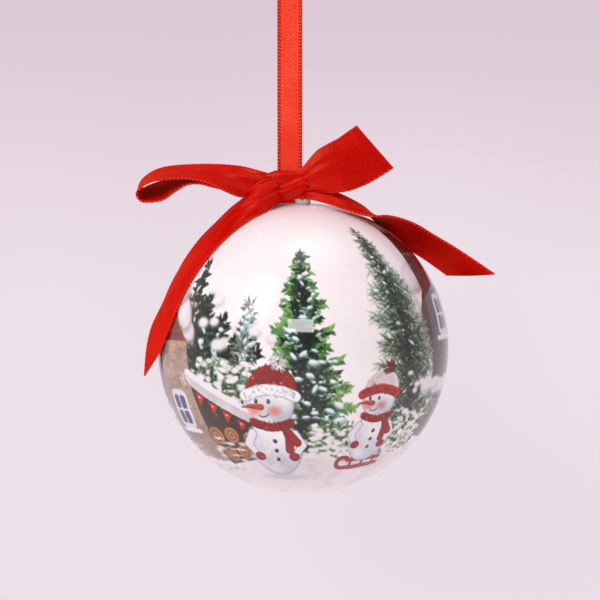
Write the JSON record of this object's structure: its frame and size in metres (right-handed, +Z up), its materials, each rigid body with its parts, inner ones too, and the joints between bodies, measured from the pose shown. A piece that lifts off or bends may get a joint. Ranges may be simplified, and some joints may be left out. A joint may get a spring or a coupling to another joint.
{
  "type": "christmas ball ornament",
  "caption": "Glossy printed foam-core ball hanging from a ribbon loop on a clear plastic peg, with a red satin bow glued over the peg.",
  "frame": {"origin": "inside the top of the hanging loop, where a hook or a twig bears", "axes": "+Z up along the hanging ribbon, -Y to the front where the bow is, +X to the right as seen from the front"},
  "size_m": [0.0918, 0.075, 0.1455],
  "materials": {
    "foam": "moulded beads, matt",
    "print": "printed winter scene under clear gloss lacquer",
    "clear_plastic": "clear, moulded",
    "clear_glue": "clear, set from hot",
    "bow_satin": "satin weave, woven edge",
    "hanger_satin": "satin weave, woven edge"
  },
  "bodies": {
    "hanging_loop": {"hanging_ribbon": "hanger_satin"},
    "ribbon_foot": {"ribbon_wrap": "hanger_satin", "ribbon_lap": "hanger_satin"},
    "ball": {"foam_core": "foam", "print_panel_1": "print", "print_panel_2": "print", "print_panel_3": "print", "hanger_peg": "clear_plastic", "glue_bead": "clear_glue", "bow_knot": "bow_satin", "bow_loop_left": "bow_satin", "bow_loop_right": "bow_satin", "bow_tail_left": "bow_satin", "bow_tail_right": "bow_satin"}
  },
  "joints": [
    {"name": "ribbon_twist", "type": "hinge", "parent": "hanging_loop", "child": "ribbon_foot", "pos_m": [0, 0, -0.0582], "axis": [0, 0, 1], "range_deg": [-180, 180], "deforming": ["hanging_ribbon"]},
    {"name": "ball_swing", "type": "hinge", "parent": "ribbon_foot", "child": "ball", "pos_m": [0, 0, -0.0651], "axis": [1, 0, 0], "range_deg": [-5, 90]}
  ]
}
